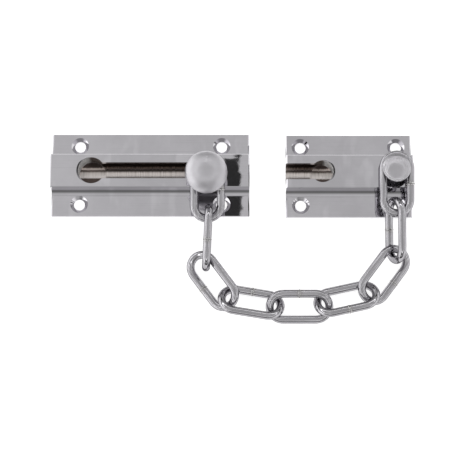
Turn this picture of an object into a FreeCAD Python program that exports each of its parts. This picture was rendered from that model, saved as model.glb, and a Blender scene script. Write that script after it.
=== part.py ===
"""Door chain guard: a door plate with a keyhole slot, a keeper plate, and nine welded links.

Millimetres. The guard lies on its back: +Z points away from the door, +X runs along the
plates from the door plate to the keeper, and the chain lies on the -Y side. The origin is
the centre of the door plate's back face.
"""

import FreeCAD, Part
import math
import os

import Sketcher

VECTOR = FreeCAD.Vector
UP = VECTOR(0, 0, 1)
OUTPUT = "parts"

SIZES = {
    # the extruded section that both plates share
    "plate_width": 42.5,
    "flange_thickness": 2.8,
    "bar_width": 17,
    "bar_height": 13,
    "end_bevel": 0.6,
    "edge_bevel": 0.3,
    "corner_width": 2.2,
    "corner_rise": 0.24,
    # the bore that runs inside the bar, and the slot over it
    "bore_diameter": 10.6,
    "bore_height": 6.9,
    "bore_tip": 2.4,
    "slot_width": 8.2,
    # countersunk screw holes
    "hole_diameter": 5.6,
    "sink_diameter": 8.8,
    "sink_angle": 90,
    "hole_row": 15.15,
    # door plate
    "door_length": 100,
    "door_hole_spacing": 72,
    "entry_position": -29.3,
    "entry_diameter": 13.4,
    "entry_floor": 1.4,
    "slot_end": 30.5,
    # keeper plate
    "keeper_length": 63.7,
    "keeper_centre": 100.25,
    "keeper_offset": -0.5,
    "keeper_hole_spacing": 48.6,
    "parking_end": -13.7,
    "parking_diameter": 11.2,
    # knob: a turned head on a stem whose ball foot runs in the bore
    "knob_position": 28.4,
    "knob_lean": 12.5,
    "foot_diameter": 10,
    "neck_diameter": 4.8,
    "head_diameter": 21,
    "head_underside": 13.6,
    "head_top": 24.4,
    "head_crown_radius": 13,
    "head_shoulder_radius": 3.6,
    "spigot_depth": 5,
    # post: a domed button on a stud riveted through the keeper
    "post_position": 22.85,
    "post_diameter": 6,
    "rivet_diameter": 4.6,
    "rivet_flare": 8,
    "rivet_flare_depth": 1.7,
    "button_diameter": 14,
    "button_underside": 19.3,
    "button_rim": 0.9,
    "button_dome": 1.9,
    "button_socket": 1.4,
    # welded link
    "wire_diameter": 4,
    "link_length": 33.6,
    "link_width": 17.4,
    "weld_ring": 0.45,
    "weld_height": 0.22,
}

# How each link lies, from the knob to the post: its centre (x, y, z), the direction that it
# runs in, its rise along that direction and its roll about it in degrees, and the side of
# the link that its weld is on.
LINK_LAYOUT = (
    (28.9, -10.3, 15.9, -90, -11, 0, 1),
    (29.0, -34.3, 11.5, -93, -18, 89, 1),
    (31.6, -55.0, 5.6, -53, -2, 29, -1),
    (50.7, -65.8, 5.6, -9, -2, -29, 1),
    (74.7, -67.9, 5.2, 0, 0, 26, 1),
    (98.2, -64.0, 5.5, 12, 1, -29, -1),
    (117.0, -51.8, 4.7, 53, 1, 21, -1),
    (122.7, -30.3, 10.6, 91, 15, -67, 1),
    (123.3, -7.6, 15.7, 89, 4, 0, -1),
)
LAYOUT_NAMES = ("along", "across", "height", "heading", "slope", "roll", "weld")

# How far the slots and the round holes at their ends go down from the top of the bar.
TO_BORE = "Sizes.bar_height - Sizes.bore_height"
TO_FLOOR = "Sizes.bar_height - Sizes.entry_floor"

doc = FreeCAD.newDocument("door_chain_guard")


def fill_sheet():
    """Puts every driving dimension in the spreadsheet, each under its own alias."""
    sheet = doc.addObject("Spreadsheet::Sheet", "Sizes")
    cells = dict(SIZES)
    for number, row in enumerate(LINK_LAYOUT, 1):
        for name, value in zip(LAYOUT_NAMES, row):
            cells[f"link_{number}_{name}"] = value
    for line, (name, value) in enumerate(cells.items(), 1):
        sheet.set(f"A{line}", name)
        sheet.set(f"B{line}", str(value))
        sheet.setAlias(f"B{line}", name)
    doc.recompute()
    return sheet


sheet = fill_sheet()


def size(name):
    return float(sheet.get(name))


def value_of(sketch, formula):
    return float(sketch.evalExpression(str(formula)))


# ---------------------------------------------------------------- sketch helpers


def new_body(label):
    body = doc.addObject("PartDesign::Body", label)
    body.Label = label
    return body


def new_sketch(body, name, role, **offset):
    """A sketch on one of the body's own planes; offset binds its x, y or z to the sheet."""
    sketch = body.newObject("Sketcher::SketchObject", name)
    plane = next(f for f in body.Origin.OriginFeatures if f.Role == role)
    sketch.AttachmentSupport = (plane, "")
    sketch.MapMode = "FlatFace"
    for letter, formula in offset.items():
        sketch.setExpression(f"AttachmentOffset.Base.{letter}", formula)
    doc.recompute()
    return sketch


def dimension(sketch, name, formula, *constraint):
    """Adds one named dimension and binds it to the sheet."""
    index = sketch.addConstraint(Sketcher.Constraint(*constraint, value_of(sketch, formula)))
    sketch.renameConstraint(index, name)
    sketch.setExpression(f"Constraints.{name}", formula)


def outline(sketch, corners):
    """A closed outline with straight sides; each corner's x and y is a formula or 0."""
    points = []
    for across, up in corners:
        points.append(VECTOR(value_of(sketch, across), value_of(sketch, up), 0))
    count = len(points)
    for start, end in zip(points, points[1:] + points[:1]):
        sketch.addGeometry(Part.LineSegment(start, end))
    for side in range(count):
        sketch.addConstraint(Sketcher.Constraint("Coincident", side, 2, (side + 1) % count, 1))
    for side, (across, up) in enumerate(corners):
        for kind, formula, axis in (("DistanceX", across, -2), ("DistanceY", up, -1)):
            if formula == 0:
                sketch.addConstraint(Sketcher.Constraint("PointOnObject", side, 1, axis))
            else:
                place = (kind, -1, 1, side, 1)
                dimension(sketch, f"{kind[-1].lower()}_{side}", formula, *place)
    doc.recompute()


def circles(sketch, centres, diameter):
    """Circles of one diameter, bound to the sheet; each centre's x and y is a formula or 0."""
    for number, (across, up) in enumerate(centres):
        centre = VECTOR(value_of(sketch, across), value_of(sketch, up), 0)
        sketch.addGeometry(Part.Circle(centre, UP, value_of(sketch, diameter) / 2))
        for kind, formula, axis in (("DistanceX", across, -2), ("DistanceY", up, -1)):
            if formula == 0:
                sketch.addConstraint(Sketcher.Constraint("PointOnObject", number, 3, axis))
            else:
                place = (kind, -1, 1, number, 3)
                dimension(sketch, f"{kind[-1].lower()}_{number}", formula, *place)
        dimension(sketch, f"diameter_{number}", diameter, "Diameter", number)
    doc.recompute()


def round_slot(sketch, start, end, width):
    """A slot with round ends along the sketch's own x axis, bound to the sheet."""
    first, last, radius = (value_of(sketch, v) for v in (start, end, f"{width} / 2"))
    quarter = math.pi / 2
    right = Part.Circle(VECTOR(last, 0, 0), UP, radius)
    left = Part.Circle(VECTOR(first, 0, 0), UP, radius)
    sketch.addGeometry(Part.LineSegment(VECTOR(last, radius, 0), VECTOR(first, radius, 0)))
    sketch.addGeometry(Part.ArcOfCircle(left, quarter, 3 * quarter))
    sketch.addGeometry(Part.LineSegment(VECTOR(first, -radius, 0), VECTOR(last, -radius, 0)))
    sketch.addGeometry(Part.ArcOfCircle(right, -quarter, quarter))
    for ends in ((0, 2, 1, 1), (1, 2, 2, 1), (2, 2, 3, 1), (3, 2, 0, 1)):
        sketch.addConstraint(Sketcher.Constraint("Tangent", *ends))
    for arc in (1, 3):
        sketch.addConstraint(Sketcher.Constraint("PointOnObject", arc, 3, -1))
    dimension(sketch, "width", width, "Diameter", 1)
    dimension(sketch, "start", start, "DistanceX", -1, 1, 1, 3)
    dimension(sketch, "end", end, "DistanceX", -1, 1, 3, 3)
    doc.recompute()


def cut(body, name, sketch, depth):
    """A pocket from the sketch down into the body."""
    before = body.Shape.Volume
    pocket = body.newObject("PartDesign::Pocket", name)
    pocket.Profile = sketch
    pocket.setExpression("Length", depth)
    doc.recompute()
    if not body.Shape.Volume < before:
        raise RuntimeError(f"{name} cut nothing")


def turned_cut(body, name, sketch, axis):
    """A groove turned about one of the sketch's own axes."""
    before = body.Shape.Volume
    groove = body.newObject("PartDesign::Groove", name)
    groove.Profile = sketch
    groove.ReferenceAxis = (sketch, [axis])
    groove.Angle = 360
    doc.recompute()
    if not body.Shape.Volume < before:
        raise RuntimeError(f"{name} cut nothing")


def turned(body, name, sketch):
    revolution = body.newObject("PartDesign::Revolution", name)
    revolution.Profile = sketch
    revolution.ReferenceAxis = (sketch, ["V_Axis"])
    revolution.Angle = 360
    doc.recompute()


# ---------------------------------------------------------------- the two plates


def extruded_plate(label, length):
    """The plate blank: the section with its raised bar, extruded along X, its top ends bevelled."""
    body = new_body(label)
    section = new_sketch(body, f"{label}_section", "YZ_Plane", z=f"-{length} / 2")
    side = "Sizes.plate_width / 2"
    wall = "Sizes.bar_width / 2"
    flange = "Sizes.flange_thickness"
    top = "Sizes.bar_height"
    half = (
        (side, 0),
        (side, flange),
        (f"{wall} + Sizes.corner_width", flange),
        (wall, f"{flange} + Sizes.corner_rise"),
        (wall, f"{top} - Sizes.edge_bevel"),
        (f"{wall} - Sizes.edge_bevel", top),
    )
    other_half = [(f"-({across})", up) for across, up in reversed(half)]
    outline(section, (*half, *other_half))
    pad = body.newObject("PartDesign::Pad", f"{label}_extrusion")
    pad.Profile = section
    pad.setExpression("Length", length)
    doc.recompute()
    bevelled_heights = (size("flange_thickness"), size("bar_height"))
    ends = []
    for number, edge in enumerate(pad.Shape.Edges, 1):
        box = edge.BoundBox
        if box.XLength < 0.01 and box.ZLength < 0.01 and round(box.ZMax, 3) in bevelled_heights:
            ends.append(f"Edge{number}")
    bevel = body.newObject("PartDesign::Chamfer", f"{label}_end_bevels")
    bevel.Base = (pad, ends)
    bevel.setExpression("Size", "Sizes.end_bevel")
    doc.recompute()
    return body


def bore(body, label, mouth, end):
    """A drilled hole along X inside the bar, from one end of the plate, with the drill's tip."""
    profile = new_sketch(body, f"{label}_bore_profile", "XZ_Plane", y="Sizes.bore_height")
    radius = "-Sizes.bore_diameter / 2"
    forward = 1 if value_of(profile, end) > value_of(profile, mouth) else -1
    tip = f"{end} + Sizes.bore_tip * {forward}"
    outline(profile, ((mouth, 0), (tip, 0), (end, radius), (mouth, radius)))
    turned_cut(body, f"{label}_bore", profile, "H_Axis")


def top_cut(body, name, draw, depth):
    """A pocket down from the top of the bar; draw puts its outline on the sketch."""
    sketch = new_sketch(body, f"{name}_outline", "XY_Plane", z="Sizes.bar_height")
    draw(sketch)
    cut(body, name, sketch, depth)


def screw_holes(body, label, spacing):
    """Four countersunk holes through the flanges."""
    sketch = new_sketch(body, f"{label}_hole_centres", "XY_Plane", z="Sizes.flange_thickness")
    centres = [
        (f"{along}{spacing} / 2", f"{across}Sizes.hole_row")
        for along in ("-", "")
        for across in ("-", "")
    ]
    circles(sketch, centres, "Sizes.hole_diameter")
    before = body.Shape.Volume
    hole = body.newObject("PartDesign::Hole", f"{label}_screw_holes")
    hole.Profile = sketch
    doc.recompute()
    hole.DepthType = "ThroughAll"
    hole.setExpression("Diameter", "Sizes.hole_diameter")
    hole.HoleCutType = "Countersink"
    hole.HoleCutCustomValues = True
    hole.setExpression("HoleCutDiameter", "Sizes.sink_diameter")
    hole.setExpression("HoleCutCountersinkAngle", "Sizes.sink_angle")
    doc.recompute()
    if not body.Shape.Volume < before:
        raise RuntimeError(f"{label}_screw_holes cut nothing")


def door_plate():
    """The long plate: bored from its right end, with the keyhole slot for the knob."""
    label = "door_plate"
    body = extruded_plate(label, "Sizes.door_length")
    slot = ("Sizes.entry_position", "Sizes.slot_end", "Sizes.slot_width")
    entry = [("Sizes.entry_position", 0)]
    top_cut(body, "keyhole_slot", lambda sketch: round_slot(sketch, *slot), TO_BORE)
    top_cut(
        body,
        "keyhole_entry",
        lambda sketch: circles(sketch, entry, "Sizes.entry_diameter"),
        TO_FLOOR,
    )
    bore(body, label, "Sizes.door_length / 2", "Sizes.entry_position")
    screw_holes(body, label, "Sizes.door_hole_spacing")
    return body


def keeper_plate():
    """The short plate: a parking slot open at its left end, and the hole for the post."""
    label = "keeper_plate"
    body = extruded_plate(label, "Sizes.keeper_length")
    slot = ("-Sizes.keeper_length / 2 - Sizes.slot_width", "Sizes.parking_end", "Sizes.slot_width")
    end = [("Sizes.parking_end", 0)]
    top_cut(body, "parking_slot", lambda sketch: round_slot(sketch, *slot), TO_BORE)
    top_cut(
        body,
        "parking_slot_end",
        lambda sketch: circles(sketch, end, "Sizes.parking_diameter"),
        TO_FLOOR,
    )
    bore(body, label, "-Sizes.keeper_length / 2", "Sizes.parking_end")
    screw_holes(body, label, "Sizes.keeper_hole_spacing")
    profile = new_sketch(body, "rivet_hole_profile", "XZ_Plane", x="Sizes.post_position")
    outline(profile, rivet_corners())
    turned_cut(body, "rivet_hole", profile, "V_Axis")
    body.setExpression("Placement.Base.x", "Sizes.keeper_centre")
    body.setExpression("Placement.Base.y", "Sizes.keeper_offset")
    return body


def rivet_corners():
    """Half the outline of the rivet's shank, which flares out at the plate's back face."""
    shank = "Sizes.rivet_diameter / 2"
    return (
        (0, 0),
        ("Sizes.rivet_flare / 2", 0),
        (shank, "Sizes.rivet_flare_depth"),
        (shank, "Sizes.bar_height"),
        (0, "Sizes.bar_height"),
    )


# ---------------------------------------------------------------- the knob and the post


def knob_placement(body):
    """Both pieces of the knob are drawn about the foot's centre and lean together."""
    foot = "vector(Sizes.knob_position; 0; Sizes.bore_height)"
    body.setExpression("Placement", f"placement({foot}; rotation(0; 0; Sizes.knob_lean))")


def knob_stem():
    """A ball foot that runs in the bore, and the neck that stands up through the slot."""
    body = new_body("knob_stem")
    sketch = new_sketch(body, "knob_stem_profile", "XZ_Plane")
    ball = size("foot_diameter") / 2
    neck = size("neck_diameter") / 2
    top = size("head_underside") + size("spigot_depth")
    meet = math.sqrt(ball**2 - neck**2)
    sphere = Part.Circle(VECTOR(0, 0, 0), UP, ball)
    points = [VECTOR(neck, meet, 0), VECTOR(neck, top, 0), VECTOR(0, top, 0), VECTOR(0, -ball, 0)]
    sketch.addGeometry(Part.ArcOfCircle(sphere, -math.pi / 2, math.atan2(meet, neck)))
    for start, end in zip(points, points[1:]):
        sketch.addGeometry(Part.LineSegment(start, end))
    for ends in ((0, 2, 1, 1), (1, 2, 2, 1), (2, 2, 3, 1), (3, 2, 0, 1)):
        sketch.addConstraint(Sketcher.Constraint("Coincident", *ends))
    sketch.addConstraint(Sketcher.Constraint("Coincident", 0, 3, -1, 1))
    sketch.addConstraint(Sketcher.Constraint("Vertical", 1))
    sketch.addConstraint(Sketcher.Constraint("Horizontal", 2))
    sketch.addConstraint(Sketcher.Constraint("PointOnObject", 2, 2, -2))
    sketch.addConstraint(Sketcher.Constraint("PointOnObject", 3, 2, -2))
    dimension(sketch, "foot", "Sizes.foot_diameter", "Diameter", 0)
    dimension(sketch, "neck", "Sizes.neck_diameter / 2", "DistanceX", -1, 1, 1, 2)
    height = "Sizes.head_underside + Sizes.spigot_depth"
    dimension(sketch, "height", height, "DistanceY", -1, 1, 1, 2)
    doc.recompute()
    turned(body, "knob_stem_turned", sketch)
    knob_placement(body)
    return body


def knob_head():
    """The turned head: a conical underside, a round shoulder and a domed crown."""
    body = new_body("knob_head")
    sketch = new_sketch(body, "knob_head_profile", "XZ_Plane")
    neck = size("neck_diameter") / 2
    rim = size("head_diameter") / 2
    under = size("head_underside")
    socket = under + size("spigot_depth")
    top = size("head_top")
    crown = size("head_crown_radius")
    shoulder = size("head_shoulder_radius")
    middle_x = rim - shoulder
    middle_y = top - crown + math.sqrt((crown - shoulder) ** 2 - middle_x**2)
    middle = VECTOR(middle_x, middle_y, 0)
    rising = math.atan2(middle_y - (top - crown), middle_x)
    reach = math.hypot(middle_x - neck, middle_y - under)
    falling = math.atan2(under - middle_y, neck - middle_x) + math.acos(shoulder / reach)
    low = middle + VECTOR(math.cos(falling), math.sin(falling), 0) * shoulder
    high = middle + VECTOR(math.cos(rising), math.sin(rising), 0) * shoulder
    sketch.addGeometry(Part.LineSegment(VECTOR(neck, under, 0), low))
    shoulder_circle = Part.Circle(middle, UP, shoulder)
    sketch.addGeometry(Part.ArcOfCircle(shoulder_circle, falling, rising))
    crown_circle = Part.Circle(VECTOR(0, top - crown, 0), UP, crown)
    sketch.addGeometry(Part.ArcOfCircle(crown_circle, rising, math.pi / 2))
    points = [VECTOR(0, top, 0), VECTOR(0, socket, 0), VECTOR(neck, socket, 0), VECTOR(neck, under, 0)]
    for start, end in zip(points, points[1:]):
        sketch.addGeometry(Part.LineSegment(start, end))
    for ends in ((2, 2, 3, 1), (3, 2, 4, 1), (4, 2, 5, 1), (5, 2, 0, 1)):
        sketch.addConstraint(Sketcher.Constraint("Coincident", *ends))
    for ends in ((0, 2, 1, 1), (1, 2, 2, 1)):
        sketch.addConstraint(Sketcher.Constraint("Tangent", *ends))
    for place in ((2, 3), (2, 2), (3, 2)):
        sketch.addConstraint(Sketcher.Constraint("PointOnObject", *place, -2))
    sketch.addConstraint(Sketcher.Constraint("Horizontal", 4))
    sketch.addConstraint(Sketcher.Constraint("Vertical", 5))
    dimension(sketch, "crown", "Sizes.head_crown_radius", "Radius", 2)
    dimension(sketch, "shoulder", "Sizes.head_shoulder_radius", "Radius", 1)
    dimension(sketch, "top", "Sizes.head_top", "DistanceY", -1, 1, 2, 2)
    dimension(sketch, "underside", "Sizes.head_underside", "DistanceY", -1, 1, 0, 1)
    dimension(sketch, "neck", "Sizes.neck_diameter / 2", "DistanceX", -1, 1, 0, 1)
    socket_depth = "Sizes.head_underside + Sizes.spigot_depth"
    dimension(sketch, "socket", socket_depth, "DistanceY", -1, 1, 4, 1)
    rim_centre = "Sizes.head_diameter / 2 - Sizes.head_shoulder_radius"
    dimension(sketch, "shoulder_centre", rim_centre, "DistanceX", -1, 1, 1, 3)
    doc.recompute()
    turned(body, "knob_head_turned", sketch)
    knob_placement(body)
    return body


def post_placement(body):
    body.setExpression("Placement.Base.x", "Sizes.keeper_centre + Sizes.post_position")
    body.setExpression("Placement.Base.y", "Sizes.keeper_offset")


def post_stem():
    """The stud that the last link goes round, with the shank that is riveted over below it."""
    body = new_body("post_stem")
    sketch = new_sketch(body, "post_stem_profile", "XZ_Plane")
    post = "Sizes.post_diameter / 2"
    top = "Sizes.button_underside + Sizes.button_socket"
    corners = (*rivet_corners()[:-1], (post, "Sizes.bar_height"), (post, top), (0, top))
    outline(sketch, corners)
    turned(body, "post_stem_turned", sketch)
    post_placement(body)
    return body


def post_head():
    """The button on the stud: a thin rim under a low dome."""
    body = new_body("post_head")
    sketch = new_sketch(body, "post_head_profile", "XZ_Plane")
    post = size("post_diameter") / 2
    rim = size("button_diameter") / 2
    under = size("button_underside")
    socket = under + size("button_socket")
    edge = under + size("button_rim")
    rise = size("button_dome")
    dome = (rim**2 + rise**2) / (2 * rise)
    centre = VECTOR(0, edge + rise - dome, 0)
    start = math.atan2(dome - rise, rim)
    points = [
        VECTOR(0, edge + rise, 0),
        VECTOR(0, socket, 0),
        VECTOR(post, socket, 0),
        VECTOR(post, under, 0),
        VECTOR(rim, under, 0),
        VECTOR(rim, edge, 0),
    ]
    sketch.addGeometry(Part.ArcOfCircle(Part.Circle(centre, UP, dome), start, math.pi / 2))
    for begin, end in zip(points, points[1:]):
        sketch.addGeometry(Part.LineSegment(begin, end))
    for side in range(5):
        sketch.addConstraint(Sketcher.Constraint("Coincident", side, 2, side + 1, 1))
    sketch.addConstraint(Sketcher.Constraint("Coincident", 5, 2, 0, 1))
    for place in ((0, 3), (0, 2), (1, 2)):
        sketch.addConstraint(Sketcher.Constraint("PointOnObject", *place, -2))
    for side, direction in ((2, "Horizontal"), (3, "Vertical"), (4, "Horizontal"), (5, "Vertical")):
        sketch.addConstraint(Sketcher.Constraint(direction, side))
    dimension(sketch, "rim", "Sizes.button_diameter / 2", "DistanceX", -1, 1, 4, 2)
    dimension(sketch, "post", "Sizes.post_diameter / 2", "DistanceX", -1, 1, 2, 2)
    dimension(sketch, "underside", "Sizes.button_underside", "DistanceY", -1, 1, 4, 2)
    edge_height = "Sizes.button_underside + Sizes.button_rim"
    dimension(sketch, "edge", edge_height, "DistanceY", -1, 1, 5, 2)
    socket_height = "Sizes.button_underside + Sizes.button_socket"
    dimension(sketch, "socket", socket_height, "DistanceY", -1, 1, 1, 2)
    top_height = f"{edge_height} + Sizes.button_dome"
    dimension(sketch, "top", top_height, "DistanceY", -1, 1, 0, 2)
    doc.recompute()
    turned(body, "post_head_turned", sketch)
    post_placement(body)
    return body


# ---------------------------------------------------------------- the chain


def chain_link(number):
    """A welded link: two straight legs, two half-round ends and the ridge of its weld."""
    label = f"chain_link_{number}"
    wire = "Sizes.wire_diameter / 2"
    bend = "(Sizes.link_width - Sizes.wire_diameter) / 2"
    straight = "(Sizes.link_length - Sizes.link_width) / 2"
    pieces = []
    for side, sign in (("left", 1), ("right", -1)):
        leg = doc.addObject("Part::Cylinder", f"{label}_{side}_leg")
        leg.setExpression("Radius", wire)
        leg.setExpression("Height", f"2 * {straight}")
        place = f"placement(vector(-{straight}; {sign} * {bend}; 0); rotation(0; 90; 0))"
        leg.setExpression("Placement", place)
        pieces.append(leg)
    for end, sign, turn in (("front", 1, -90), ("back", -1, 90)):
        arc = doc.addObject("Part::Torus", f"{label}_{end}_bend")
        arc.setExpression("Radius1", bend)
        arc.setExpression("Radius2", wire)
        arc.Angle3 = 180
        place = f"placement(vector({sign} * {straight}; 0; 0); rotation({turn}; 0; 0))"
        arc.setExpression("Placement", place)
        pieces.append(arc)
    weld = doc.addObject("Part::Torus", f"{label}_weld")
    weld.setExpression("Radius1", f"{wire} + Sizes.weld_height - Sizes.weld_ring")
    weld.setExpression("Radius2", "Sizes.weld_ring")
    across = f"Sizes.link_{number}_weld * {bend}"
    weld.setExpression("Placement", f"placement(vector(0; {across}; 0); rotation(0; 90; 0))")
    pieces.append(weld)
    link = doc.addObject("Part::MultiFuse", label)
    link.Label = label
    link.Shapes = pieces
    link.Refine = True
    row = f"Sizes.link_{number}"
    place = f"vector({row}_along; {row}_across; {row}_height)"
    turn = f"rotation({row}_heading; -{row}_slope; {row}_roll)"
    link.setExpression("Placement", f"placement({place}; {turn})")
    return link


# ---------------------------------------------------------------- the whole guard


def check(parts):
    """Stops if any object failed, or any sub-part is empty, broken or not one solid."""
    for obj in doc.Objects:
        if "Invalid" in obj.State or "Error" in obj.State:
            raise RuntimeError(f"{obj.Name} failed: {obj.State}")
    for part in parts:
        shape = part.Shape
        if shape.isNull() or not shape.isValid() or len(shape.Solids) != 1:
            raise RuntimeError(f"{part.Label} is not one valid solid")
        print(f"{part.Label}: {shape.Volume:.0f} mm3")


def main():
    parts = [door_plate(), keeper_plate(), knob_stem(), knob_head(), post_stem(), post_head()]
    parts += [chain_link(number) for number in range(1, len(LINK_LAYOUT) + 1)]
    doc.recompute()
    check(parts)
    os.makedirs(OUTPUT, exist_ok=True)
    for part in parts:
        part.Shape.exportStep(os.path.join(OUTPUT, f"{part.Label}.step"))


main()
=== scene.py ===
import math

import bmesh
import bpy
from mathutils import Euler, Matrix, Vector, noise


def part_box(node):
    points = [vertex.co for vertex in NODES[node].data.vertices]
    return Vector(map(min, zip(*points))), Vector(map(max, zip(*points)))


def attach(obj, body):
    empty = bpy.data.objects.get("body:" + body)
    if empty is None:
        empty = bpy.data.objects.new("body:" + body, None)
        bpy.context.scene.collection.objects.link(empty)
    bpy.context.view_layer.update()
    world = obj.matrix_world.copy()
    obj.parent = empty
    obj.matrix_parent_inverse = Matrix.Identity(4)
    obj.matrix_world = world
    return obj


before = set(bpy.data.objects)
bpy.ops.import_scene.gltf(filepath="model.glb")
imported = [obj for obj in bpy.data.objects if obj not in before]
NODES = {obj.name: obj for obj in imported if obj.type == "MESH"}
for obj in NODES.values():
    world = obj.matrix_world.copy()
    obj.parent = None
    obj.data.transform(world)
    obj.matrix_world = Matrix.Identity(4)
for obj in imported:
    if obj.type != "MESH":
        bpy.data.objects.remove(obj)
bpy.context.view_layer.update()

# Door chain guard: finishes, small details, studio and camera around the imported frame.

MM = 0.001

# The chain's links as the CAD lays them: centre (mm), heading, slope, roll (degrees), weld side.
LINKS = (
    (28.9, -10.3, 15.9, -90, -11, 0, 1),
    (29.0, -34.3, 11.5, -93, -18, 89, 1),
    (31.6, -55.0, 5.6, -53, -2, 29, -1),
    (50.7, -65.8, 5.6, -9, -2, -29, 1),
    (74.7, -67.9, 5.2, 0, 0, 26, 1),
    (98.2, -64.0, 5.5, 12, 1, -29, -1),
    (117.0, -51.8, 4.7, 53, 1, 21, -1),
    (122.7, -30.3, 10.6, 91, 15, -67, 1),
    (123.3, -7.6, 15.7, 89, 4, 0, -1),
)
WIRE_RADIUS = 2.0 * MM
BEND_RADIUS = 6.7 * MM

# The knob's foot and lean, and the axis of the bores.
FOOT = Vector((28.4, 0, 6.9)) * MM
KNOB_LEAN = math.radians(12.5)
BORE_HEIGHT = 6.9 * MM

# Each slot's round end: its centre's x, its radius, and the side along x away from the slot.
ENTRY = (-29.3 * MM, 6.7 * MM, -1)
PARKING = (86.55 * MM, 5.6 * MM, 1)

# Where the plates' finish changes. Each pair is a soft edge, from nothing to full strength.
BORE_EDGE = (5.6 * MM, 5.4 * MM)  # distance from the bore's axis
DRILL_TIP = (3.0 * MM, 2.6 * MM)  # distance past the centre of the round end
FLOOR_FROM_ABOVE = (1.9 * MM, 1.6 * MM)  # height of the round end's floor
FLOOR_FROM_BELOW = (1.1 * MM, 1.3 * MM)
WALL_SKIN = (0.14 * MM, 0.08 * MM)  # distance from the round end's wall
WALL_FOOT = (2.0 * MM, 3.5 * MM)  # height above the back face
WALL_RIM = (12.95 * MM, 12.9 * MM)
# The next reach sets the band of painted shade along the foot of the bar's wall.
FOOT_SHADE_REACH = (1.3 * MM, 0.2 * MM)  # distance from the foot of the bar's wall
ARC_EDGE = (0.12 * MM, -0.12 * MM)  # distance past the dark arc's outer edge
ARC_HEIGHT = (12.6 * MM, 12.8 * MM)

# The foot of the bar's wall, where the painted shade runs, across from the plate's middle and up
# from its back face;
# the painted dark reflection arc's width at its ends and at its middle; how far the floor's finish
# fades past its rim.
WALL_PLACE = (8.5 * MM, 3.0 * MM)
ARC_WIDTH = (0.15 * MM, 0.75 * MM)
FLOOR_RIM = 0.1 * MM

# How finely each streaked pattern repeats along x, y and z.
EXTRUSION_LINES = (25, 2600, 2600)
SOFT_PATCHES = (120, 45, 45)
SOFT_WAVES = (55, 90, 90)
DRILLED_STREAKS = (1800, 70, 70)
DRAWN_MARKS = (60, 1500, 1500)

# How deep each pattern stands in the surface.
LINE_DEPTH = 0.0008 * MM
WAVE_DEPTH = 0.06 * MM
RING_DEPTH = 0.012 * MM
CLOUD_DEPTH = 0.007 * MM
DENT_DEPTH = 0.035 * MM
DRAWN_DEPTH = 0.006 * MM
SPOT_DEPTH = 0.03 * MM

# The heat's mark and the seam beside a weld, along the wire, and the leg that they are on.
HEAT_REACH = (2.6 * MM, 0.4 * MM)
SEAM_REACH = (0.75 * MM, 0.35 * MM)
WELDED_LEG = (2 * MM, 3 * MM)

# The weld bead: half its length, how far it swells and is sunk in the wire, and its burr's
# height, angle round the wire and spread (radians, and parts of the half length).
BEAD_LENGTH = 0.62 * MM
BEAD_SWELL = 0.20 * MM
BEAD_SUNK = 0.05 * MM
BURR_HEIGHT = 0.10 * MM
BURR_ANGLE = 1.9
BURR_SPREAD = (0.28, 0.55)

# The drilled steel's brown, with painted bands of reflected light and shade across it, from the -Y
# side of its axis (mm) to the +Y side, and the darker streaks and rings over it.
PAINTED_BORE_BANDS = (
    (-6.5, (0.060, 0.045, 0.040, 1)),
    (-1.5, (0.085, 0.065, 0.058, 1)),
    (-0.9, (0.900, 0.850, 0.825, 1)),
    (1.5, (0.800, 0.740, 0.700, 1)),
    (2.3, (0.170, 0.140, 0.125, 1)),
    (2.9, (0.130, 0.105, 0.094, 1)),
    (3.3, (0.950, 0.850, 0.790, 1)),
    (3.9, (0.800, 0.690, 0.630, 1)),
    (4.4, (0.090, 0.070, 0.062, 1)),
    (6.5, (0.050, 0.038, 0.034, 1)),
)
DRILLED_STREAK = (0.15, 0.12, 0.108, 1)
DRILLED_RING = (0.09, 0.07, 0.062, 1)
DRILL_PITCH = 0.55 * MM
SHADED_WALL = (0.10, 0.08, 0.07, 1)
HEATED_STEEL = (0.30, 0.285, 0.27, 1)

# The studio's brightness: overhead, the banks at the sides and in front, a narrow strip lamp,
# and how much of the light is lost in the gap above the banks and close to the horizon.
CANOPY = 0.72
SIDE_BANK = 1.5
FRONT_BANK = 0.6
STRIP = 3.0
GAP = 0.92
HORIZON = 0.85

# Where those lie in the sky, by the upward part of the direction. Each pair is a soft edge.
BANK_TOP = (0.52, 0.30)
HORIZON_TOP = (0.26, 0.16)
GAP_FOOT, GAP_TOP = (0.40, 0.44), (0.54, 0.50)
STRIP_FOOT, STRIP_TOP = (0.63, 0.65), (0.71, 0.69)

# The dark card (metres): its centre, and half its width and length.
FLAG_CENTRE = (0.0415, 0.139, 0.613)
FLAG_HALF = (0.0085, 0.029)

# The camera: its tilt, its distance from the point that it aims at, that point, the picture's
# width and the focal length (pixels), and the sensor's width (mm).
CAMERA_TILT = math.radians(12.3)
CAMERA_DISTANCE = 0.808
CAMERA_AIM = Vector((40.2, -27.8, 0)) * MM
PICTURE_WIDTH = 460
FOCAL_LENGTH = 1600
SENSOR_WIDTH = 36


# ---------------------------------------------------------------- node helpers


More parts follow.
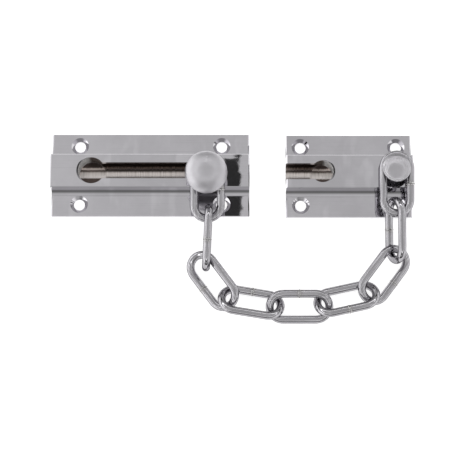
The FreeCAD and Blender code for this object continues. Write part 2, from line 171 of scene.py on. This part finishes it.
class Shader:
    """A material's node tree, with short calls for the nodes that this scene uses."""

    def __init__(self, name):
        self.material = bpy.data.materials.new(name)
        self.material.use_nodes = True
        self.tree = self.material.node_tree
        self.bsdf = self.tree.nodes["Principled BSDF"]
        self.coordinates = self.tree.nodes.new("ShaderNodeTexCoord").outputs["Object"]

    def node(self, kind, inputs=(), **settings):
        node = self.tree.nodes.new("ShaderNode" + kind)
        for key, value in settings.items():
            setattr(node, key, value)
        for key, value in dict(inputs).items():
            self.put(node.inputs[key], value)
        return node

    def put(self, socket, value):
        if isinstance(value, bpy.types.NodeSocket):
            self.tree.links.new(value, socket)
        else:
            socket.default_value = value

    def set(self, name, value):
        self.put(self.bsdf.inputs[name], value)

    def math(self, operation, first, second=0.0):
        return self.node("Math", {0: first, 1: second}, operation=operation).outputs[0]

    def product(self, first, *others):
        for other in others:
            first = self.math("MULTIPLY", first, other)
        return first

    def without(self, value):
        """One minus value."""
        return self.math("SUBTRACT", 1.0, value)

    def length(self, first, second):
        squares = self.math("ADD", self.product(first, first), self.product(second, second))
        return self.math("SQRT", squares)

    def mapped(self, source, scale):
        return self.node("Mapping", {"Vector": source, "Scale": scale}).outputs[0]

    def local(self, place):
        """Object coordinates seen from a frame that stands at place."""
        mapping = self.node("Mapping", {"Vector": self.coordinates}, vector_type="TEXTURE")
        mapping.inputs["Location"].default_value = place.to_translation()
        mapping.inputs["Rotation"].default_value = place.to_euler("XYZ")
        return mapping.outputs[0]

    def split(self, vector):
        return self.node("SeparateXYZ", {0: vector}).outputs

    def noise(self, vector, scale, detail=3.0, roughness=0.5):
        inputs = {"Vector": vector, "Scale": scale, "Detail": detail, "Roughness": roughness}
        return self.node("TexNoise", inputs).outputs["Fac"]

    def between(self, value, low, high, to_low=0.0, to_high=1.0, smooth=True):
        """Maps value from low..high to to_low..to_high."""
        inputs = {"Value": value, "From Min": low, "From Max": high}
        inputs |= {"To Min": to_low, "To Max": to_high}
        kind = "SMOOTHSTEP" if smooth else "LINEAR"
        return self.node("MapRange", inputs, interpolation_type=kind).outputs[0]

    def mix(self, factor, first, second):
        node = self.node("Mix", data_type="RGBA")
        self.put(node.inputs[0], factor)
        self.put(node.inputs[6], first)
        self.put(node.inputs[7], second)
        return node.outputs[2]

    def bands(self, value, stops):
        """Colours that run into one another; each stop is (value in mm, colour)."""
        low, high = stops[0][0] * MM, stops[-1][0] * MM
        ramp = self.node("ValToRGB", {"Fac": self.between(value, low, high, smooth=False)})
        points = ramp.color_ramp.elements
        for extra in range(len(stops) - 2):
            points.new((extra + 1) / len(stops))
        for point, (place, colour) in zip(points, stops):
            point.position = (place * MM - low) / (high - low)
            point.color = colour
        return ramp.outputs["Color"]

    def bump(self, height, distance, strength=1.0, below=None):
        inputs = {"Height": height, "Distance": distance, "Strength": strength}
        if below is not None:
            inputs["Normal"] = below
        return self.node("Bump", inputs).outputs[0]


def grey(value, warm=0.0):
    return (value * (1 + warm), value, value * (1 - warm), 1)


def chrome(value):
    """The slightly violet grey of bright chrome."""
    return (value * 1.005, value * 0.985, value * 1.03, 1)


def ring_height(shader, local, pitch):
    """Fine rings about the local z axis, such as a lathe leaves."""
    x, y, _ = shader.split(local)
    wander = shader.product(shader.noise(local, 900, 2), 0.4 * pitch)
    radius = shader.math("ADD", shader.length(x, y), wander)
    return shader.math("SINE", shader.product(radius, 2 * math.pi / pitch))


# ---------------------------------------------------------------- finishes


def polished_colour(s, tint, off_y, z, lines, clouds):
    """Chrome with soft patches, faint extrusion lines, and painted shade along the foot of the
    bar's wall.
    """
    patches = s.noise(s.mapped(s.coordinates, SOFT_PATCHES), 1.0, 2, 0.5)
    colour = s.mix(s.between(clouds, 0.3, 0.7), chrome(tint * 0.95), chrome(tint * 1.02))
    colour = s.mix(s.between(patches, 0.56, 0.72, 0, 0.35), colour, chrome(tint * 1.3))
    colour = s.mix(s.between(lines, 0.55, 0.8, 0, 0.55), colour, chrome(tint * 0.8))
    across, up = WALL_PLACE
    from_wall = s.math("SUBTRACT", s.math("ABSOLUTE", off_y), across)
    from_foot = s.length(from_wall, s.math("SUBTRACT", z, up))
    # Painted shade: a darker grey along the crease at the foot of the bar's wall.
    return s.mix(s.between(from_foot, *FOOT_SHADE_REACH, 0, 0.85), colour, grey(0.16))


def painted_reflection_arc(s, beyond, far, outside, off_y, z, end_radius):
    """How much of the painted dark reflection arc there is just outside the round end's far side.
    """
    width = s.between(beyond, end_radius * 0.5, end_radius, *ARC_WIDTH)
    near = s.between(s.math("SUBTRACT", outside, width), *ARC_EDGE)
    strength = s.between(off_y, -5.2 * MM, 0.0, 0.35, 0.95)
    return s.product(near, far, s.between(z, *ARC_HEIGHT), strength)


def drilled_steel_and_painted_light(s, off_y, rings):
    """Brown steel with painted bands of reflected light and shade along the bore, streaks, and the
    drill's rings.
    """
    streaks = s.noise(s.mapped(s.coordinates, DRILLED_STREAKS), 1.0, 3, 0.7)
    waver = s.product(s.math("SUBTRACT", streaks, 0.5), 1.1 * MM)
    # Painted light and shade: bands across the bore's axis stand in for its reflections, over the
    # steel's own brown.
    colour = s.bands(s.math("ADD", off_y, waver), PAINTED_BORE_BANDS)
    colour = s.mix(s.between(streaks, 0.4, 0.75, 0.0, 0.4), colour, DRILLED_STREAK)
    return s.mix(s.between(rings, 0.0, 1.0, 0, 0.25, smooth=False), colour, DRILLED_RING)


def plate_finish(name, centre_y, end_x, end_radius, far_side, tint):
    """Polished chrome, and a brown, ringed surface where the plate is drilled, with painted light
    and shade: bands in the bore, shade at the foot of the bar's wall, a dark reflection arc, and a
    shaded and lit wall at the slot's round end.

    end_x and end_radius say where the slot's round end is and how large it is; far_side is
    -1 or 1, the side of it along x that is away from the slot.
    """
    s = Shader(name)
    x, y, z = s.split(s.coordinates)
    off_y = s.math("SUBTRACT", y, centre_y)
    off_x = s.math("SUBTRACT", x, end_x)
    from_axis = s.length(off_y, s.math("SUBTRACT", z, BORE_HEIGHT))
    from_end = s.length(off_x, off_y)
    outside = s.math("SUBTRACT", from_end, end_radius)
    beyond = s.product(off_x, far_side)

    in_bore = s.product(s.between(from_axis, *BORE_EDGE), s.between(beyond, *DRILL_TIP))
    in_hole = s.between(from_end, end_radius + FLOOR_RIM, end_radius)
    on_floor = s.product(in_hole, s.between(z, *FLOOR_FROM_ABOVE), s.between(z, *FLOOR_FROM_BELOW))
    far = s.between(beyond, 0.0, end_radius * 0.4)
    off_wall = s.math("ABSOLUTE", outside)
    on_wall = s.product(s.between(off_wall, *WALL_SKIN), s.between(z, *WALL_FOOT))
    painted_wall_shading = s.product(on_wall, s.between(z, *WALL_RIM))
    drilled = s.product(s.math("MAXIMUM", in_bore, on_floor), s.without(on_wall))

    lines = s.noise(s.mapped(s.coordinates, EXTRUSION_LINES), 1.0, 4, 0.65)
    clouds = s.noise(s.coordinates, 60, 4, 0.6)
    turns = s.product(s.math("ADD", x, s.product(clouds, 0.4 * MM)), 2 * math.pi / DRILL_PITCH)
    rings = s.math("SINE", turns)

    polished = polished_colour(s, tint, off_y, z, lines, clouds)
    arc = painted_reflection_arc(s, beyond, far, outside, off_y, z, end_radius)
    # Painted reflection: a near-black arc outside the slot's round end stands in for a dark
    # reflection.
    polished = s.mix(arc, polished, grey(0.02))
    colour = s.mix(drilled, polished, drilled_steel_and_painted_light(s, off_y, rings))
    # Painted shade on the near side of the round end's wall, and a painted pale highlight on its
    # far side.
    s.set("Base Color", s.mix(painted_wall_shading, colour, s.mix(far, SHADED_WALL, grey(0.8))))
    s.set("Metallic", s.without(s.product(painted_wall_shading, 0.7)))

    smooth = s.between(clouds, 0.35, 0.75, 0.008, 0.025)
    rough = s.math("ADD", smooth, s.product(drilled, 0.30))
    s.set("Roughness", s.math("ADD", rough, s.product(painted_wall_shading, 0.5)))

    waves = s.noise(s.mapped(s.coordinates, SOFT_WAVES), 1.0, 2, 0.45)
    lined = s.bump(lines, LINE_DEPTH, 1.0, s.bump(waves, WAVE_DEPTH))
    s.set("Normal", s.bump(s.product(rings, drilled), RING_DEPTH, 1.0, lined))
    return s.material


def turned_finish(name, place, tint, roughness, pitch, depth):
    """Turned metal: polished, with fine rings about its axis and a little unevenness."""
    s = Shader(name)
    local = s.local(place)
    clouds = s.noise(local, 220, 4, 0.6)
    rings = ring_height(s, local, pitch)
    colour = s.mix(s.between(clouds, 0.3, 0.7), chrome(tint * 0.95), chrome(tint))
    colour = s.mix(s.between(rings, 0.2, 1.0, 0, 0.12), colour, chrome(tint * 0.7))
    s.set("Base Color", colour)
    s.set("Metallic", 1.0)
    s.set("Roughness", s.between(clouds, 0.3, 0.7, roughness * 0.92, roughness * 1.1))
    s.set("Normal", s.bump(clouds, CLOUD_DEPTH, 1.0, s.bump(rings, depth)))
    return s.material


def wire_finish(name, place, weld_side):
    """Bright drawn wire: marks along it, small dents, and heat-dulled metal beside the weld."""
    s = Shader(name)
    local = s.local(place)
    x, y, _ = s.split(local)
    drawn = s.noise(s.mapped(local, DRAWN_MARKS), 1.0, 4, 0.6)
    dents = s.noise(local, 420, 3, 0.55)
    along = s.math("ABSOLUTE", x)
    on_leg = s.between(s.product(y, weld_side), *WELDED_LEG)
    heat = s.product(s.between(along, *HEAT_REACH), on_leg)
    seam = s.product(s.between(along, *SEAM_REACH), on_leg)
    colour = s.mix(s.between(drawn, 0.35, 0.7), chrome(0.33), chrome(0.50))
    colour = s.mix(s.product(heat, 0.35), colour, HEATED_STEEL)
    colour = s.mix(s.product(seam, 0.5), colour, grey(0.2, 0.03))
    s.set("Base Color", colour)
    s.set("Metallic", 1.0)
    s.set("Specular Tint", chrome(0.3))
    plain = s.between(dents, 0.3, 0.75, 0.03, 0.07)
    s.set("Roughness", s.math("ADD", plain, s.product(heat, 0.12)))
    s.set("Normal", s.bump(dents, DENT_DEPTH, 1.0, s.bump(drawn, DRAWN_DEPTH)))
    return s.material


def weld_finish():
    """Rough, spotted weld metal."""
    s = Shader("weld_metal")
    spots = s.noise(s.coordinates, 2600, 3, 0.6)
    s.set("Base Color", s.mix(s.between(spots, 0.35, 0.65), grey(0.24, 0.02), grey(0.85)))
    s.set("Metallic", 1.0)
    s.set("Roughness", s.between(spots, 0.3, 0.7, 0.12, 0.3))
    s.set("Normal", s.bump(spots, SPOT_DEPTH))
    return s.material


def dress(node, material):
    """The CAD node keeps its shape and takes this finish."""
    mesh = NODES[node].data
    mesh.materials.clear()
    mesh.materials.append(material)


def link_place(row):
    """The frame that a link stands in: x along it, y across it, at its centre."""
    x, y, z, heading, slope, roll, _ = row
    turn = Matrix.Rotation(math.radians(heading), 4, "Z")
    rise = Matrix.Rotation(-math.radians(slope), 4, "Y")
    tip = Matrix.Rotation(math.radians(roll), 4, "X")
    return Matrix.Translation(Vector((x, y, z)) * MM) @ turn @ rise @ tip


def middle(node):
    """The centre of the box round a CAD node."""
    low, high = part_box(node)
    return (low + high) / 2


# ---------------------------------------------------------------- small added pieces


def add_piece(name, mesh, body, material):
    """A small smooth piece that is carried by this body."""
    piece = bpy.data.objects.new(name, mesh)
    bpy.context.scene.collection.objects.link(piece)
    mesh.materials.append(material)
    for polygon in mesh.polygons:
        polygon.use_smooth = True
    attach(piece, body)


def bead_point(t, angle, side, seed):
    """A point of the collar: t runs along the wire from -1 to 1, angle runs round it."""
    across_burr, along_burr = BURR_SPREAD
    around = Vector((math.cos(angle), math.sin(angle), t * 0.6))
    rough = noise.noise(around * 2.3 + seed)
    burr = math.exp(-((angle - BURR_ANGLE) / across_burr) ** 2 - (t / along_burr) ** 2)
    crown = math.sqrt(max(0.0, 1 - t * t))
    lift = crown * (BEAD_SWELL * (0.75 + 0.5 * rough) + BURR_HEIGHT * burr) - BEAD_SUNK
    radius = WIRE_RADIUS + lift
    along = t * BEAD_LENGTH * (1 + 0.35 * noise.noise(around * 3.1 - seed))
    across = side * BEND_RADIUS + radius * math.cos(angle)
    return Vector((along, across, radius * math.sin(angle)))


def weld_bead(number, row, material):
    """The uneven collar that the welder leaves round the wire, with its small burr."""
    place = link_place(row)
    rings, steps = 10, 40
    seed = Vector((number * 7.3, 1.7, 0.4))
    bm = bmesh.new()
    loops = []
    for i in range(rings + 1):
        loop = []
        for k in range(steps):
            point = bead_point(i / rings * 2 - 1, 2 * math.pi * k / steps, row[-1], seed)
            loop.append(bm.verts.new(place @ point))
        loops.append(loop)
    for one, two in zip(loops, loops[1:]):
        for k in range(steps):
            following = (k + 1) % steps
            bm.faces.new((one[k], one[following], two[following], two[k]))
    bm.faces.new(loops[0])
    bm.faces.new(loops[-1])
    bmesh.ops.recalc_face_normals(bm, faces=bm.faces)
    mesh = bpy.data.meshes.new(f"weld_bead_{number}")
    bm.to_mesh(mesh)
    bm.free()
    add_piece(f"weld_bead_{number}", mesh, f"link_{number}", material)


# ---------------------------------------------------------------- studio


class WorldShader(Shader):
    """The same short calls for the world's node tree."""

    def __init__(self, world):
        world.use_nodes = True
        self.tree = world.node_tree
        self.tree.nodes.clear()
        self.coordinates = self.tree.nodes.new("ShaderNodeTexCoord").outputs["Generated"]


def studio_world():
    """A soft studio: a grey canopy overhead, brighter banks left and right, a dim horizon."""
    world = bpy.data.worlds.new("studio")
    bpy.context.scene.world = world
    s = WorldShader(world)
    x, y, z = s.split(s.coordinates)
    sideways = s.math("DIVIDE", s.math("ABSOLUTE", x), s.length(x, y))
    from_left = s.between(x, -0.3, 0.3, SIDE_BANK * 1.35, SIDE_BANK * 0.85)
    to_side = s.between(sideways, 0.35, 0.85)
    sides = s.node("Mix", {0: to_side, 2: FRONT_BANK, 3: from_left}).outputs[0]
    low = s.between(z, *BANK_TOP)
    clouds = s.between(s.noise(s.coordinates, 9.0, 3), 0.3, 0.7, 0.92, 1.08)
    canopy = s.product(s.without(low), CANOPY, clouds)
    near_horizon = s.product(s.between(z, *HORIZON_TOP), s.between(sideways, 0.8, 0.4), HORIZON)
    gap = s.product(s.between(z, *GAP_FOOT), s.between(z, *GAP_TOP, 0, GAP))
    upper_left = s.between(s.math("SUBTRACT", y, x), -0.4, 0.6, STRIP * 0.55, STRIP)
    strip = s.product(s.between(z, *STRIP_FOOT), s.between(z, *STRIP_TOP), upper_left)
    light = s.math("ADD", s.product(low, sides), canopy)
    light = s.product(light, s.without(near_horizon), s.without(gap))
    light = s.math("ADD", light, strip)
    back = s.node("Background", {"Color": (1, 1, 1, 1), "Strength": light})
    out = s.node("OutputWorld")
    s.tree.links.new(back.outputs[0], out.inputs[0])


def flat_piece(name, outline, material):
    """A single flat face with this outline."""
    mesh = bpy.data.meshes.new(name)
    mesh.from_pydata(outline, [], [tuple(range(len(outline)))])
    mesh.materials.append(material)
    piece = bpy.data.objects.new(name, mesh)
    bpy.context.scene.collection.objects.link(piece)
    return piece


def floor():
    """A pale floor that glows a little, just under the plates."""
    half, centre_x, below = 1.5, 0.04, -0.15 * MM
    signs = ((-1, -1), (1, -1), (1, 1), (-1, 1))
    corners = [(x * half + centre_x, y * half, below) for x, y in signs]
    s = Shader("floor_white")
    s.set("Base Color", grey(0.6))
    s.set("Roughness", 0.9)
    s.set("Emission Color", (1, 1, 1, 1))
    s.set("Emission Strength", 0.75)
    ground = flat_piece("floor", corners, s.material)


def dark_card(name, centre, half_x, half_y, seed):
    """A small dark flag overhead, with an uneven edge, that the polished plates reflect."""
    steps = 48
    points = []
    for k in range(steps):
        angle = 2 * math.pi * k / steps
        c, s = math.cos(angle), math.sin(angle)
        squareness = max(abs(c), abs(s))
        wobble = 1 + 0.07 * noise.noise(Vector((c * 2.2, s * 2.2, seed)))
        out_x = half_x * c / squareness * wobble
        out_y = half_y * s / squareness * wobble
        points.append((centre[0] + out_x, centre[1] + out_y, centre[2]))
    s = Shader(name + "_black")
    s.set("Base Color", grey(0.02))
    s.set("Roughness", 1.0)
    card = flat_piece(name, points, s.material)


def camera():
    """Looks down on the guard, tilted a little from straight above."""
    data = bpy.data.cameras.new("camera")
    data.sensor_width = SENSOR_WIDTH
    data.lens = SENSOR_WIDTH * FOCAL_LENGTH / PICTURE_WIDTH
    data.clip_start = 0.01
    view = bpy.data.objects.new("camera", data)
    away = Vector((0, -math.sin(CAMERA_TILT), math.cos(CAMERA_TILT)))
    view.location = CAMERA_AIM + away * CAMERA_DISTANCE
    view.rotation_euler = Euler((CAMERA_TILT, 0, 0))
    bpy.context.scene.collection.objects.link(view)
    bpy.context.scene.camera = view


# ---------------------------------------------------------------- the whole scene

camera()
studio_world()
floor()
dark_card("flag_plate", FLAG_CENTRE, *FLAG_HALF, 0.3)
bpy.context.scene.view_settings.view_transform = "Standard"

dress("door_plate", plate_finish("door_plate_chrome", 0.0, *ENTRY, 0.56))
keeper_y = middle("keeper_plate").y
dress("keeper_plate", plate_finish("keeper_plate_chrome", keeper_y, *PARKING, 0.53))

# Each turned piece: its node, material name, frame, tint, roughness, ring pitch, ring depth.
knob_place = Matrix.Translation(FOOT) @ Matrix.Rotation(KNOB_LEAN, 4, "X")
post_place = Matrix.Translation(middle("post_head"))
TURNED = (
    ("knob_head", "knob_polish", knob_place, 0.52, 0.42, 0.45 * MM, 0.0006 * MM),
    ("knob_stem", "knob_stem_steel", knob_place, 0.45, 0.3, 0.4 * MM, 0.004 * MM),
    ("post_head", "button_turned", post_place, 0.50, 0.22, 0.7 * MM, 0.014 * MM),
    ("post_stem", "post_steel", post_place, 0.45, 0.28, 0.4 * MM, 0.004 * MM),
)
for node, *finish in TURNED:
    dress(node, turned_finish(*finish))

weld = weld_finish()
for number, row in enumerate(LINKS, 1):
    dress(f"chain_link_{number}", wire_finish(f"wire_{number}", link_place(row), row[-1]))
    weld_bead(number, row, weld)
